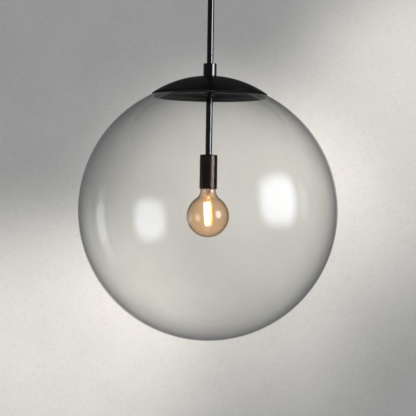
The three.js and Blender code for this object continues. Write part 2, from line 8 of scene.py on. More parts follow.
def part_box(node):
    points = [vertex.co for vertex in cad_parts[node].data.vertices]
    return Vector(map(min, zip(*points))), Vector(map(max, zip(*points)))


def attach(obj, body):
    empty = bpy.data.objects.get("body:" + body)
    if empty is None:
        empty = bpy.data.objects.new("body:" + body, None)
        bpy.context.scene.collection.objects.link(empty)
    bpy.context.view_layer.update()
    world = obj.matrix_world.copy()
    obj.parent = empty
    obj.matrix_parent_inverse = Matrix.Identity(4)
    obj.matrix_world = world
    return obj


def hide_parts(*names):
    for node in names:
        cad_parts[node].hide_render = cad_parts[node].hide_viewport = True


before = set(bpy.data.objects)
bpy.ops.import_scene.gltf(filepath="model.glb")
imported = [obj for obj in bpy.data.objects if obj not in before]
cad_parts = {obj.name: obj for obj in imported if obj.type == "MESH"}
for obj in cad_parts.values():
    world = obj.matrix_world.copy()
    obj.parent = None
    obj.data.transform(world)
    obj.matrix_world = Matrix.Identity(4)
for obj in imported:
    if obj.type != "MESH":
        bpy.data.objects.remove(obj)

scene = bpy.context.scene
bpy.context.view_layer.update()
mm = 0.001
fullTurn = 2 * math.pi
near = 1e-6  # points this close are the same point
past = mm  # how far a cutting tool reaches past the face it cuts


def corner(node, low=True):
    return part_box(node)[0 if low else 1]


def heights(node):
    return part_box(node)[0].z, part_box(node)[1].z


def halfWidth(node):
    low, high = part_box(node)
    return (high.x - low.x) / 2


def arc(centreRadius, centreHeight, radius, start, end, steps):
    # points on a circle, angles in degrees from the +radius direction
    angles = [math.radians(start + (end - start) * i / steps) for i in range(steps + 1)]
    return [(centreRadius + radius * math.cos(a), centreHeight + radius * math.sin(a)) for a in angles]


def tidy(bm):
    bmesh.ops.remove_doubles(bm, verts=bm.verts, dist=near)
    bmesh.ops.recalc_face_normals(bm, faces=bm.faces)
    return bm


def softenEdges(bm, width, segments=2, sharperThan=28):
    limit = math.radians(sharperThan)
    edges = [e for e in bm.edges if e.is_manifold and e.calc_face_angle(0) > limit]
    bmesh.ops.bevel(bm, geom=edges, offset=width, offset_type="OFFSET", segments=segments, profile=0.5,
                    affect="EDGES", material=-1, clamp_overlap=True)
    return bm


def turn(before, middle, after):
    # how far a profile bends at its middle point, in degrees
    first = Vector(middle) - Vector(before)
    second = Vector(after) - Vector(middle)
    return math.degrees(first.angle(second, 0))


def supported(profile, reach=0.6 * mm, bend=12):
    # an extra point near each bent end of a long straight run, so that it shades flat along its length
    result = [profile[0]]
    last = len(profile) - 1
    for i in range(last):
        start, end = Vector(profile[i]), Vector(profile[i + 1])
        length = (end - start).length
        if length > 8 * reach:
            step = (end - start) * reach / length
            if i == 0 or turn(profile[i - 1], profile[i], profile[i + 1]) > bend:
                result.append(tuple(start + step))
            if i + 1 == last or turn(profile[i], profile[i + 1], profile[i + 2]) > bend:
                result.append(tuple(end - step))
        result.append(profile[i + 1])
    return result


def spun(profile, sides, closed=False):
    # a profile of (radius, height) points spun about the lamp's axis
    bm = bmesh.new()
    points = [bm.verts.new((radius, 0, height)) for radius, height in profile]
    edges = [bm.edges.new(pair) for pair in zip(points, points[1:])]
    if closed:
        edges.append(bm.edges.new((points[-1], points[0])))
    bmesh.ops.spin(bm, geom=points + edges, cent=(0, 0, 0), axis=(0, 0, 1), dvec=(0, 0, 0),
                   angle=fullTurn, steps=sides, use_merge=True, use_duplicate=False)
    return tidy(bm)


def turned(profile, sides=64, bevel=0.0):
    # a lathe-turned solid; a profile that leaves the axis is a closed ring
    closed = max(profile[0][0], profile[-1][0]) > near * mm
    run = supported(profile + profile[:1])[:-1] if closed else supported(profile)
    bm = spun(run, sides, closed)
    return softenEdges(bm, bevel) if bevel else bm


def tube(inner, outer, low, high, sides=48, bevel=0.0):
    return turned([(inner, low), (outer, low), (outer, high), (inner, high)], sides, bevel)


def rod(radius, low, high, sides=48, bevel=0.0):
    return turned([(0, low), (radius, low), (radius, high), (0, high)], sides, bevel)


def prism(outline, low, high):
    # a flat outline in X and Y, raised along Z
    bm = bmesh.new()
    face = bm.faces.new([bm.verts.new((x, y, low)) for x, y in outline])
    raised = bmesh.ops.extrude_face_region(bm, geom=[face])["geom"]
    top = [g for g in raised if isinstance(g, bmesh.types.BMVert)]
    bmesh.ops.translate(bm, verts=top, vec=(0, 0, high - low))
    return tidy(bm)


def slotTool(reach, width, low, high):
    # cuts a screwdriver slot across a head
    side = width / 2
    return prism([(-reach, -side), (reach, -side), (reach, side), (-reach, side)], low, high)


def placed(bm, matrix):
    bmesh.ops.transform(bm, matrix=matrix, verts=bm.verts)
    return bm


def along(axis, place):
    # turns a piece made on +Z to lie on the given axis
    return Matrix.Translation(place) @ Vector(axis).to_track_quat("Z", "Y").to_matrix().to_4x4()


def makeMesh(bm, name):
    mesh = bpy.data.meshes.new(name)
    bm.to_mesh(mesh)
    bm.free()
    return mesh


def carved(bm, tools, how="DIFFERENCE"):
    base = bpy.data.objects.new("base", makeMesh(bm, "base"))
    cutters = [bpy.data.objects.new("cutter", makeMesh(tool, "cutter")) for tool in tools]
    for thing in [base] + cutters:
        scene.collection.objects.link(thing)
    for cutter in cutters:
        modifier = base.modifiers.new("cut", "BOOLEAN")
        modifier.operation = how
        modifier.solver = "EXACT"
        modifier.object = cutter
    evaluated = base.evaluated_get(bpy.context.evaluated_depsgraph_get())
    mesh = bpy.data.meshes.new_from_object(evaluated)
    result = bmesh.new()
    result.from_mesh(mesh)
    for thing in [base] + cutters:
        data = thing.data
        bpy.data.objects.remove(thing)
        bpy.data.meshes.remove(data)
    bpy.data.meshes.remove(mesh)
    bmesh.ops.remove_doubles(result, verts=result.verts, dist=near)
    bmesh.ops.dissolve_degenerate(result, dist=near, edges=result.edges)
    return result


def thread(radius, depth, pitch, low, high, sides=32, rolled=False):
    # a helical thread: one wavy line swept round and up a pitch, then cut flat at both ends
    bm = bmesh.new()
    wave = 8 if rolled else 2
    turns = math.ceil((high - low) / pitch) + 2
    points = []
    for i in range(turns * wave + 1):
        rise = (1 + math.cos(fullTurn * i / wave)) / 2 if rolled else i % 2
        points.append(bm.verts.new((radius - depth * (1 - rise), 0, low + pitch * (i / wave - 1))))
    edges = [bm.edges.new(pair) for pair in zip(points, points[1:])]
    bmesh.ops.spin(bm, geom=points + edges, cent=(0, 0, 0), axis=(0, 0, 1), dvec=(0, 0, pitch / sides),
                   angle=fullTurn, steps=sides, use_merge=False, use_duplicate=False)
    bmesh.ops.remove_doubles(bm, verts=bm.verts, dist=near)
    for height, side in ((low, -1), (high, 1)):
        geom = list(bm.verts) + list(bm.edges) + list(bm.faces)
        bmesh.ops.bisect_plane(bm, geom=geom, dist=near / 10, plane_co=(0, 0, height), plane_no=(0, 0, side),
                               clear_outer=True)
    return bm


def capEnds(bm):
    for limit in (min(v.co.z for v in bm.verts), max(v.co.z for v in bm.verts)):
        edges = [e for e in bm.edges if e.is_boundary and all(abs(v.co.z - limit) < near for v in e.verts)]
        bmesh.ops.contextual_create(bm, geom=edges)
    return tidy(bm)


def hexPrism(flats, low, high):
    reach = flats / math.sqrt(3)
    angles = [i * math.pi / 3 for i in range(6)]
    return prism([(reach * math.cos(a), reach * math.sin(a)) for a in angles], low, high)


# shares of the nut's own size: how much of each corner is cut off, how steeply, and how deep the bore is sunk
nutLook = {"cornerCut": 0.62, "cutSlope": 0.7, "sink": 0.12}


def hexNut(flats, bore, low, high, look=nutLook):
    # six flats with cone-cut corners top and bottom, and a countersunk bore
    reach = flats / math.sqrt(3)
    cut = (reach - flats / 2) * look["cornerCut"]
    slope = cut * look["cutSlope"]
    cone = turned([(0, low), (reach - cut, low), (reach + cut / 4, low + slope),
                   (reach + cut / 4, high - slope), (reach - cut, high), (0, high)], 48)
    sink = (high - low) * look["sink"]
    hole = turned([(0, low - past), (bore + sink + past, low - past), (bore, low + sink), (bore, high - sink),
                   (bore + sink + past, high + past), (0, high + past)], 32)
    return carved(carved(hexPrism(flats, low, high), [cone], "INTERSECT"), [hole])


def wire(points, radius):
    # a round wire on a smooth curve through the points
    curve = bpy.data.curves.new("route", "CURVE")
    curve.dimensions = "3D"
    curve.bevel_depth = radius
    curve.bevel_resolution = 2
    curve.resolution_u = 8
    curve.use_fill_caps = True
    spline = curve.splines.new("BEZIER")
    spline.bezier_points.add(len(points) - 1)
    for knot, place in zip(spline.bezier_points, points):
        knot.co = place
        knot.handle_left_type = knot.handle_right_type = "AUTO"
    holder = bpy.data.objects.new("route", curve)
    scene.collection.objects.link(holder)
    evaluated = holder.evaluated_get(bpy.context.evaluated_depsgraph_get())
    mesh = bpy.data.meshes.new_from_object(evaluated)
    bm = bmesh.new()
    bm.from_mesh(mesh)
    bpy.data.objects.remove(holder)
    bpy.data.curves.remove(curve)
    bpy.data.meshes.remove(mesh)
    return tidy(bm)


def nodeCopy(node, bevel=0.0, segments=2):
    # a copy of a CAD node with its flat faces whole again and its edges broken
    bm = bmesh.new()
    bm.from_mesh(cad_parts[node].data)
    tidy(bm)
    bmesh.ops.dissolve_limit(bm, angle_limit=math.radians(1), verts=bm.verts, edges=bm.edges)
    return softenEdges(bm, bevel, segments) if bevel else bm


def nodeEnds(node):
    # the middle of a stick's lower and upper end
    points = [v.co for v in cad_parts[node].data.vertices]
    low, high = min(p.z for p in points), max(p.z for p in points)
    middle = (low + high) / 2
    lower = [p for p in points if p.z < middle]
    upper = [p for p in points if p.z >= middle]
    return sum(lower, Vector()) / len(lower), sum(upper, Vector()) / len(upper)


def linear(hexText):
    # an sRGB hex colour as linear light
    values = [int(hexText[i:i + 2], 16) / 255 for i in (0, 2, 4)]
    return tuple(v / 12.92 if v <= 0.04045 else ((v + 0.055) / 1.055) ** 2.4 for v in values) + (1,)


def setInputs(tree, node, inputs):
    # each input is a value, or the socket to link from
    for name, value in inputs.items():
        if isinstance(value, bpy.types.NodeSocket):
            tree.links.new(value, node.inputs[name])
        else:
            node.inputs[name].default_value = value


def addNode(tree, kind, inputs=None, output=0, stops=(), **settings):
    # adds a node with its settings and links, and gives back one of its outputs
    node = tree.nodes.new("ShaderNode" + kind)
    for name, value in settings.items():
        setattr(node, name, value)
    for i, (position, hexText) in enumerate(stops):
        node.color_ramp.elements[i].position = position
        node.color_ramp.elements[i].color = linear(hexText)
    setInputs(tree, node, inputs or {})
    return node.outputs[output]


def startMaterial(name):
    material = bpy.data.materials.new(name)
    material.use_nodes = True
    tree = material.node_tree
    return material, tree, tree.nodes["Principled BSDF"], addNode(tree, "TexCoord", output="Object")


def perMetre(size):
    return 1000 / size  # texture scale for a feature of that many millimetres


def surface(tree, place, look, patterns, strength, depth):
    # colour that wanders between two tones and gloss between two levels, over a fine relief;
    # each pattern is a size in millimetres, a detail and a roughness
    cloud, grain, relief = [addNode(tree, "TexNoise", {"Vector": place, "Scale": perMetre(size),
                                                       "Detail": detail, "Roughness": rough})
                            for size, detail, rough in patterns]
    tones = ((0.3, look["dark"]), (0.7, look["light"]))
    return {
        "Base Color": addNode(tree, "ValToRGB", {"Fac": cloud}, stops=tones),
        "Roughness": addNode(tree, "MapRange", {"Value": grain, "From Min": 0.3, "From Max": 0.7,
                                                "To Min": look["gloss"], "To Max": look["dull"]}),
        "Normal": addNode(tree, "Bump", {"Height": relief, "Strength": strength, "Distance": depth * mm}),
    }


# Polyester powder coat on steel: a deep satin black, a soft bright line where a window shows in it,
# and the faint orange peel that powder leaves as it melts.
powderCoat = {"dark": "070707", "light": "0e0e0e", "cloud": 14, "peel": 2.2, "dust": 0.9, "gloss": 0.13,
              "dull": 0.2, "skin": 1.0, "index": 1.7, "tint": "ffffff"}
# The cap has the same coat, a little more matt, and its hollow side is left dull.
capCoat = {"dark": "070707", "light": "0d0d0d", "cloud": 14, "peel": 2.2, "dust": 0.9, "gloss": 0.2,
           "dull": 0.26, "skin": 0.0, "index": 1.5, "tint": "ffffff", "underside": 0.95}
# The socket cup's coat is duller, so its bright line is broad and grey; its brown tones and warm-tinted line
# are painted glow of the amber bulb below.
cupCoat = {"dark": "2a1c0f", "light": "372718", "cloud": 14, "peel": 1.8, "dust": 0.8, "gloss": 0.26,
           "dull": 0.34, "skin": 0.1, "index": 1.6, "tint": "ffe2cf"}


def powderCoated(name, look):
    material, tree, shader, place = startMaterial(name)
    patterns = [(look["cloud"], 3, 0.5), (look["dust"], 2, 0.5), (look["peel"], 2, 0.5)]
    sockets = surface(tree, place, look, patterns, 0.25, 0.03)
    if "underside" in look:
        # little powder reaches the side that faces down
        normal = addNode(tree, "TexCoord", output="Normal")
        facing = addNode(tree, "SeparateXYZ", {"Vector": normal}, "Z")
        sockets["Roughness"] = addNode(tree, "MapRange", {"Value": facing, "From Min": -0.2, "From Max": 0.1,
                                                          "To Min": look["underside"],
                                                          "To Max": look["dull"]})
    setInputs(tree, shader, {**sockets, "IOR": look["index"], "Specular IOR Level": 1.0,
                             "Specular Tint": linear(look["tint"]), "Coat Weight": look["skin"],
                             "Coat Roughness": 0.08})
    return material


# Zinc plate with a clear passivate: pale bluish grey, softly bright, with the cloudy look of barrel plating.
zincPlate = {"dark": "9a9da2", "light": "c3c6ca", "cloud": 3.5, "gloss": 0.28, "dull": 0.44, "metal": 0.7}
# Drawn brass strip, lightly tarnished.
drawnBrass = {"dark": "9b7433", "light": "c79d54", "cloud": 4, "gloss": 0.2, "dull": 0.36, "metal": 0.9}
# Nickel plate on the bulb's rolled brass base: bright, warm white metal.
nickelPlate = {"dark": "a9a49a", "light": "cfcabf", "cloud": 5, "gloss": 0.14, "dull": 0.28, "metal": 0.85}
# Nickel lamp wire, oxidised a little by the glass sealing.
nickelWire = {"dark": "8d8170", "light": "b9ab94", "cloud": 1.5, "gloss": 0.25, "dull": 0.4, "metal": 0.9}


def bareMetal(name, look):
    material, tree, shader, place = startMaterial(name)
    fine = (look["cloud"] / 4, 2, 0.5)
    sockets = surface(tree, place, look, [(look["cloud"], 4, 0.6), fine, fine], 0.2, 0.02)
    setInputs(tree, shader, {**sockets, "Metallic": look["metal"]})
    return material


# Soft or moulded plastics and rubber: a dull even colour with a fine moulded grain.
rubber = {"dark": "141414", "light": "202020", "grain": 1.2, "gloss": 0.6, "dull": 0.8}
bakelite = {"dark": "1d1613", "light": "2a211c", "grain": 2.0, "gloss": 0.32, "dull": 0.48}
blackSheath = {"dark": "101011", "light": "191919", "grain": 1.5, "gloss": 0.38, "dull": 0.5}
whiteSheath = {"dark": "dcd8cd", "light": "e8e5dc", "grain": 1.5, "gloss": 0.36, "dull": 0.48}
greenSheath = {"dark": "1d6b34", "light": "27803f", "grain": 1.5, "gloss": 0.36, "dull": 0.48}
# Enamel on the earth screw, a little glossier than the plastics.
greenPaint = {"dark": "1f6f38", "light": "2c8448", "grain": 1.0, "gloss": 0.25, "dull": 0.4}


def moulded(name, look):
    material, tree, shader, place = startMaterial(name)
    fine = (look["grain"], 3, 0.5)
    sockets = surface(tree, place, look, [(look["grain"] * 6, 2, 0.5), fine, fine], 0.3, 0.03)
    setInputs(tree, shader, {**sockets, "IOR": 1.5})
    return material


# Blown soda-lime glass, 3 mm: nearly colourless, a touch grey, with long faint waves from the blowing.
blownGlass = {"thin": "fcfcfb", "thick": "f9f9f8", "size": 90, "detail": 1, "rough": 0.4, "relief": 0.6,
              "depth": 0.12, "haze": 0.0}
# Lead-free mount glass, clear and slightly drawn lengthways.
drawnGlass = {"thin": "f5f3ee", "thick": "fffdf8", "size": 3, "detail": 2, "rough": 0.5, "relief": 0.2,
              "depth": 0.05, "haze": 0.03}


def clearGlass(name, look):
    material, tree, shader, place = startMaterial(name)
    wave = addNode(tree, "TexNoise", {"Vector": place, "Scale": perMetre(look["size"]),
                                      "Detail": look["detail"], "Roughness": look["rough"]})
    tones = ((0.3, look["thin"]), (0.7, look["thick"]))
    setInputs(tree, shader, {
        "Base Color": addNode(tree, "ValToRGB", {"Fac": wave}, stops=tones),
        "Normal": addNode(tree, "Bump", {"Height": wave, "Strength": look["relief"],
                                         "Distance": look["depth"] * mm}),
        "Roughness": look["haze"], "IOR": 1.5, "Transmission Weight": 1.0})
    return material


# Amber lustre fired on the bulb's glass. It thins out to clear glass at the neck. The glass also carries a
# painted glow:
# a faint emission, strongest below the filaments, stands in for their light scattered in it.
amberLustre = {"amber": "ffefdc", "amberDeep": "ffebd4", "clear": "f8efe9", "cloud": 20, "haze": 0.13,
               "neckDrop": 6, "fadeLength": 9, "glow": "9c7d5c", "glowLow": "ffc896", "glowStrength": 0.06,
               "glowFrom": 4, "glowTo": 40}


def amberGlass(look=amberLustre):
    material, tree, shader, place = startMaterial("amberLustreGlass")
    height = addNode(tree, "SeparateXYZ", {"Vector": place}, "Z")
    neck = corner("bulb_base_shell").z - look["neckDrop"] * mm
    bottom = corner("bulb_glass").z
    fade = addNode(tree, "MapRange", {"Value": height, "From Min": neck - look["fadeLength"] * mm,
                                      "From Max": neck}, interpolation_type="SMOOTHSTEP")
    # painted glow: emission on the glass, brightest low on the bulb and fading upwards
    fall = addNode(tree, "MapRange", {"Value": height, "From Min": bottom + look["glowFrom"] * mm,
                                      "From Max": bottom + look["glowTo"] * mm})
    cloud = addNode(tree, "TexNoise", {"Vector": place, "Scale": perMetre(look["cloud"]), "Detail": 2})
    amber = addNode(tree, "ValToRGB", {"Fac": cloud}, stops=((0.3, look["amber"]), (0.7, look["amberDeep"])))
    glow = addNode(tree, "ValToRGB", {"Fac": fall}, stops=((0, look["glowLow"]), (1, look["glow"])))
    lustre = addNode(tree, "Mix", {0: fade, 6: amber, 7: linear(look["clear"])}, 2, data_type="RGBA")
    setInputs(tree, shader, {
        "Base Color": lustre, "Emission Color": glow,
        "Emission Strength": look["glowStrength"], "Roughness": look["haze"], "IOR": 1.5,
        "Transmission Weight": 1.0, "Specular IOR Level": 0.75, "Coat Weight": 1.0, "Coat Roughness": 0.02})
    return material


# Silicone and phosphor sleeve of a lit LED filament: even, rubbery and very bright.
litPhosphor = {"pale": "ffd98a", "deep": "ffc766", "light": "ffe2b0", "strength": 20, "grain": 0.8}
# The stick that leans out is much dimmer.
dimPhosphor = {"pale": "ffd98a", "deep": "ffc766", "light": "ffd08a", "strength": 0.9, "grain": 0.8}


def phosphor(name, look):
    material, tree, shader, place = startMaterial(name)
    grain = addNode(tree, "TexNoise", {"Vector": place, "Scale": perMetre(look["grain"]), "Detail": 2})
    sleeve = addNode(tree, "ValToRGB", {"Fac": grain}, stops=((0.3, look["pale"]), (0.7, look["deep"])))
    setInputs(tree, shader, {
        "Base Color": sleeve,
        "Roughness": 0.55, "Emission Color": linear(look["light"]), "Emission Strength": look["strength"]})
    return material


finishes = {
    "satin_black": powderCoated("satinBlackPowderCoat", powderCoat),
    "cup_black": powderCoated("bulbGlowPaintedBlackCoat", cupCoat),
    "cap_black": powderCoated("mattBlackPowderCoat", capCoat),
    "zinc_steel": bareMetal("zincPlatedSteel", zincPlate),
    "brass": bareMetal("drawnBrass", drawnBrass),
    "nickel_brass": bareMetal("nickelPlatedBrass", nickelPlate),
    "nickel_wire": bareMetal("nickelLampWire", nickelWire),
    "clear_glass": clearGlass("blownClearGlass", blownGlass),
    "amber_glass": amberGlass(),
    "mount_glass": clearGlass("drawnMountGlass", drawnGlass),
    "black_rubber": moulded("siliconeRubber", rubber),
    "phenolic": moulded("mouldedBakelite", bakelite),
    "black_sheath": moulded("blackPvcSheath", blackSheath),
    "white_sheath": moulded("whiteNylon", whiteSheath),
    "green_sheath": moulded("greenPvcSheath", greenSheath),
    "green_paint": moulded("greenEnamel", greenPaint),
    "phosphor": phosphor("litPhosphorSleeve", litPhosphor),
    "dim_phosphor": phosphor("dimPhosphorSleeve", dimPhosphor),
}
print("finishes made:", len(finishes))


def piece(name, bm, body, nodes, slot, finish=None, smooth=32):
    bmesh.ops.dissolve_degenerate(bm, dist=near / 10, edges=bm.edges)
    bmesh.ops.delete(bm, geom=[e for e in bm.edges if e.is_wire], context="EDGES")
    mesh = makeMesh(bm, name)
    mesh.shade_smooth()
    mesh.set_sharp_from_angle(angle=math.radians(smooth))
    mesh.materials.append(finishes[finish or slot])
    thing = bpy.data.objects.new(name, mesh)
    scene.collection.objects.link(thing)
    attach(thing, body)
    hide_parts(*nodes)
    return thing


# Lengths are in millimetres in the dictionaries of pieces and finishes, and in metres in the stage's.
globeLook = {"wall": 3.0, "sides": 192, "ringsPerQuarter": 64, "lipSteps": 8}


def glassGlobe(look=globeLook):
    low, high = heights("glass_globe")
    radius = halfWidth("glass_globe")
    wall = look["wall"] * mm
    centre = low + radius
    lip = math.degrees(math.asin((high - centre) / radius))
    rings = look["ringsPerQuarter"] + math.ceil(look["ringsPerQuarter"] * lip / 90)
    outside = arc(0, centre, radius, -90, lip, rings)
    # the mouth's edge is fire-polished round
    middle = radius - wall / 2
    mouthRadius = middle * math.cos(math.radians(lip))
    mouthHeight = centre + middle * math.sin(math.radians(lip))
    edge = arc(mouthRadius, mouthHeight, wall / 2, lip, lip + 180, look["lipSteps"])[1:-1]
    inside = arc(0, centre, radius - wall, lip, -90, rings)
    bm = turned(outside + edge + inside, look["sides"])
    globe = piece("glassGlobe", bm, "stem", ["glass_globe"], "clear_glass", smooth=60)
    globe.visible_shadow = False


glassGlobe()
print("glass globe made")


# rimTuck is in degrees: it keeps the round rim inside the dome's own outline
capLook = {"wall": 1.5, "rodGap": 0.3, "rimTuck": 0.25, "domeSteps": 40, "sides": 160,
           "gasketWidth": 3.0, "gasketTaper": 1.4, "gasketEdge": 0.12}


def domedCap(look=capLook):
    low, high = heights("shade_cap")
    radius = halfWidth("shade_cap")
    wall = look["wall"] * mm
    bore = halfWidth("upper_rod") + look["rodGap"] * mm
    rise = high - low
    # the sphere that passes through the rim's edge and the bore's edge
    toRim = (radius ** 2 + rise ** 2 - bore ** 2) / (2 * rise)
    sphere = math.sqrt(toRim ** 2 + bore ** 2)
    centre = high - math.sqrt(sphere ** 2 - bore ** 2)
    rim = math.degrees(math.asin((low - centre) / sphere))
    start = rim + look["rimTuck"]
    top = math.degrees(math.acos(bore / sphere))
    steps = look["domeSteps"]
    outside = arc(0, centre, sphere, start, top, steps)
    inside = arc(0, centre, sphere - wall, top, start, steps)
    middle = sphere - wall / 2
    rimAngle = math.radians(start)
    edge = arc(middle * math.cos(rimAngle), centre + middle * math.sin(rimAngle), wall / 2,
               rim + 180, rim + 360, 8)[1:-1]
    dome = turned(outside + inside + edge, look["sides"])
    piece("domedCap", dome, "cap", ["shade_cap"], "satin_black", "cap_black", 50)

    low, high = heights("cap_gasket")
    outer = halfWidth("cap_gasket")
    inner = outer - look["gasketWidth"] * mm
    ring = [(inner, low + look["gasketTaper"] * mm), (outer, low), (outer, high), (inner, high)]
    gasket = turned(ring, look["sides"], look["gasketEdge"] * mm)
    piece("capGasket", gasket, "cap", ["cap_gasket"], "black_rubber")


collarLook = {"rodGap": 0.3, "chamfer": 0.8, "edge": 0.18, "screwGap": 0.2, "threadDepth": 0.25, "pitch": 0.7,
              "hexKey": 2.0, "keyDepth": 1.6}


def collarAndScrew(look=collarLook):
    low, high = heights("cap_collar")
    outer = halfWidth("cap_collar")
    bore = halfWidth("upper_rod") + look["rodGap"] * mm
    chamfer = look["chamfer"] * mm
    profile = [(bore, low), (outer, low), (outer, high - chamfer), (outer - chamfer, high), (bore, high)]
    screwLow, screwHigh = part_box("collar_set_screw")
    height = (screwLow.z + screwHigh.z) / 2
    screwRadius = (screwHigh.z - screwLow.z) / 2
    intoCollar = along((0, 1, 0), (0, 0, height))
    hole = placed(rod(screwRadius + look["screwGap"] * mm, 0, outer * 2, 32), intoCollar)
    body = softenEdges(carved(turned(profile, 96), [hole]), look["edge"] * mm)
    piece("capCollar", body, "cap", ["cap_collar"], "satin_black")

    screw = capEnds(thread(screwRadius, look["threadDepth"] * mm, look["pitch"] * mm, screwLow.y,
                           screwHigh.y, 24))
    key = hexPrism(look["hexKey"] * mm, screwHigh.y - look["keyDepth"] * mm, screwHigh.y + past)
    screw = placed(carved(screw, [key]), intoCollar)
    piece("collarSetScrew", screw, "cap", ["collar_set_screw"], "satin_black")


domedCap()
collarAndScrew()
print("cap made")


rodLook = {"wall": 1.5, "endChamfer": 0.45, "edge": 0.08, "nipplePitch": 0.94, "threadDepth": 0.35,
           "nippleBore": 3.25, "cableEdge": 0.3}


def threadedTube(node, look=rodLook):
    low, high = heights(node)
    body = thread(halfWidth(node), look["threadDepth"] * mm, look["nipplePitch"] * mm, low, high)
    return carved(capEnds(body), [rod(look["nippleBore"] * mm, low - past, high + past, 32)])


def rodsAndNipples(look=rodLook):
    chamfer = look["endChamfer"] * mm
    for node, name in (("upper_rod", "upperRod"), ("lower_stem", "lowerStem")):
        low, high = heights(node)
        radius = halfWidth(node)
        inner = radius - look["wall"] * mm
        profile = [(inner, low), (radius - chamfer, low), (radius, low + chamfer), (radius, high - chamfer),
                   (radius - chamfer, high), (inner, high)]
        piece(name, turned(profile, 64, look["edge"] * mm), "stem", [node], "satin_black")
    for node, name, body in (("rod_nipple", "rodNipple", "stem"), ("socket_nipple", "socketNipple", "stem"),
                             ("swivel_nipple", "swivelNipple", "swivel")):
        piece(name, threadedTube(node), body, [node], "zinc_steel")
    low, high = heights("lamp_cable")
    cable = rod(halfWidth("lamp_cable"), low, high, 32, look["cableEdge"] * mm)
    piece("lampCable", cable, "stem", ["lamp_cable"], "black_sheath")


rodsAndNipples()
print("rods made")


barLook = {"barEdge": 0.35, "padEdge": 0.4, "nutGap": 0.25, "washerGap": 0.3, "washerEdge": 0.25}


def supportBar(look=barLook):
    bar = nodeCopy("support_bar", look["barEdge"] * mm)
    piece("supportBar", bar, "stem", ["support_bar"], "satin_black")
    for side in ("left", "right"):
        node = "bar_pad_" + side
        pad = nodeCopy(node, look["padEdge"] * mm, 3)
        piece("barPad" + side.title(), pad, "stem", [node], "black_rubber")
    stem = halfWidth("upper_rod")
    for node, name in (("bar_nut_lower", "barNutLower"), ("bar_nut_upper", "barNutUpper")):
        nut = hexNut(2 * corner(node, False).y, stem + look["nutGap"] * mm, *heights(node))
        piece(name, nut, "stem", [node], "satin_black")
    washer = tube(stem + look["washerGap"] * mm, halfWidth("bar_washer"), *heights("bar_washer"), 64,
                  look["washerEdge"] * mm)
    piece("barWasher", washer, "stem", ["bar_washer"], "zinc_steel")


supportBar()
print("support bar made")


# the bulb's base and the holder's shell share one rolled thread
rolledThread = {"pitch": 3.63, "shellDepth": 0.45, "baseDepth": 0.85, "sides": 64}
socketLook = {"cupWall": 1.2, "cupCorner": 2.0, "cupLip": 0.6, "nippleGap": 0.3, "shellGap": 0.25,
              "contactRoom": 2.3, "neckRadius": 3.25, "neckDepth": 13, "rivetRadius": 1.8, "bodyEdge": 0.3,
              "shellWall": 0.35, "springThickness": 0.9, "springDish": 0.5, "tipRadius": 1.5,
              "springEdge": 0.12}


def socketCup(look=socketLook):
    low, high = heights("socket_cup")
    outer = halfWidth("socket_cup")
    wall = look["cupWall"] * mm
    bend = look["cupCorner"] * mm
    lip = look["cupLip"] * mm
    hole = halfWidth("socket_nipple") + look["nippleGap"] * mm
    profile = [(hole, high), (hole, high - wall), *arc(outer - bend, high - bend, bend - wall, 90, 0, 5),
               (outer - wall, low + lip), (outer - wall + lip / 2, low), (outer - lip / 2, low),
               (outer, low + lip), *arc(outer - bend, high - bend, bend, 0, 90, 8)]
    # the cup's coat carries painted warm light from the amber bulb just below it
    piece("socketCup", turned(profile, 96), "stem", ["socket_cup"], "satin_black", "cup_black", 40)
    nut = hexNut(2 * corner("socket_locknut", False).y, hole, *heights("socket_locknut"))
    piece("socketLocknut", nut, "stem", ["socket_locknut"], "zinc_steel")


def lampHolder(look=socketLook, form=rolledThread):
    low, high = heights("socket_body")
    outer = halfWidth("socket_body")
    shellLow, shellHigh = heights("screw_shell")
    shellOuter = halfWidth("screw_shell")
    bore = shellOuter + look["shellGap"] * mm
    contactTop = shellHigh + look["contactRoom"] * mm
    neck = look["neckRadius"] * mm
    floor = high - look["neckDepth"] * mm
    rivet = look["rivetRadius"] * mm
    profile = [(bore, low), (outer, low), (outer, high), (neck, high), (neck, floor), (rivet, floor),
               (rivet, contactTop), (bore, contactTop)]
    piece("socketBody", turned(profile, 96, look["bodyEdge"] * mm), "stem", ["socket_body"], "phenolic")

    shell = thread(shellOuter, form["shellDepth"] * mm, form["pitch"] * mm, shellLow, shellHigh,
                   form["sides"], rolled=True)
    bmesh.ops.recalc_face_normals(shell, faces=shell.faces)
    bmesh.ops.solidify(shell, geom=shell.faces, thickness=look["shellWall"] * mm)
    piece("screwShell", tidy(shell), "stem", ["screw_shell"], "brass")

    low, high = heights("centre_contact")
    disc = halfWidth("centre_contact")
    tip = look["tipRadius"] * mm
    top = low + look["springThickness"] * mm
    spring = [(0, low), (disc - tip, low), (disc, low + look["springDish"] * mm), (disc, top),
              (tip, top), (tip, high), (0, high)]
    piece("centreContact", turned(spring, 48, look["springEdge"] * mm), "stem", ["centre_contact"], "brass")


socketCup()
lampHolder()
print("socket made")


bulbLook = {"wall": 0.8, "neckRadius": 15.0, "fillet": 20.0, "neckStraight": 1.5, "shoulder": 4.5,
            "shoulderBend": 3.0, "seat": 0.8, "globeSteps": 44, "filletSteps": 12}


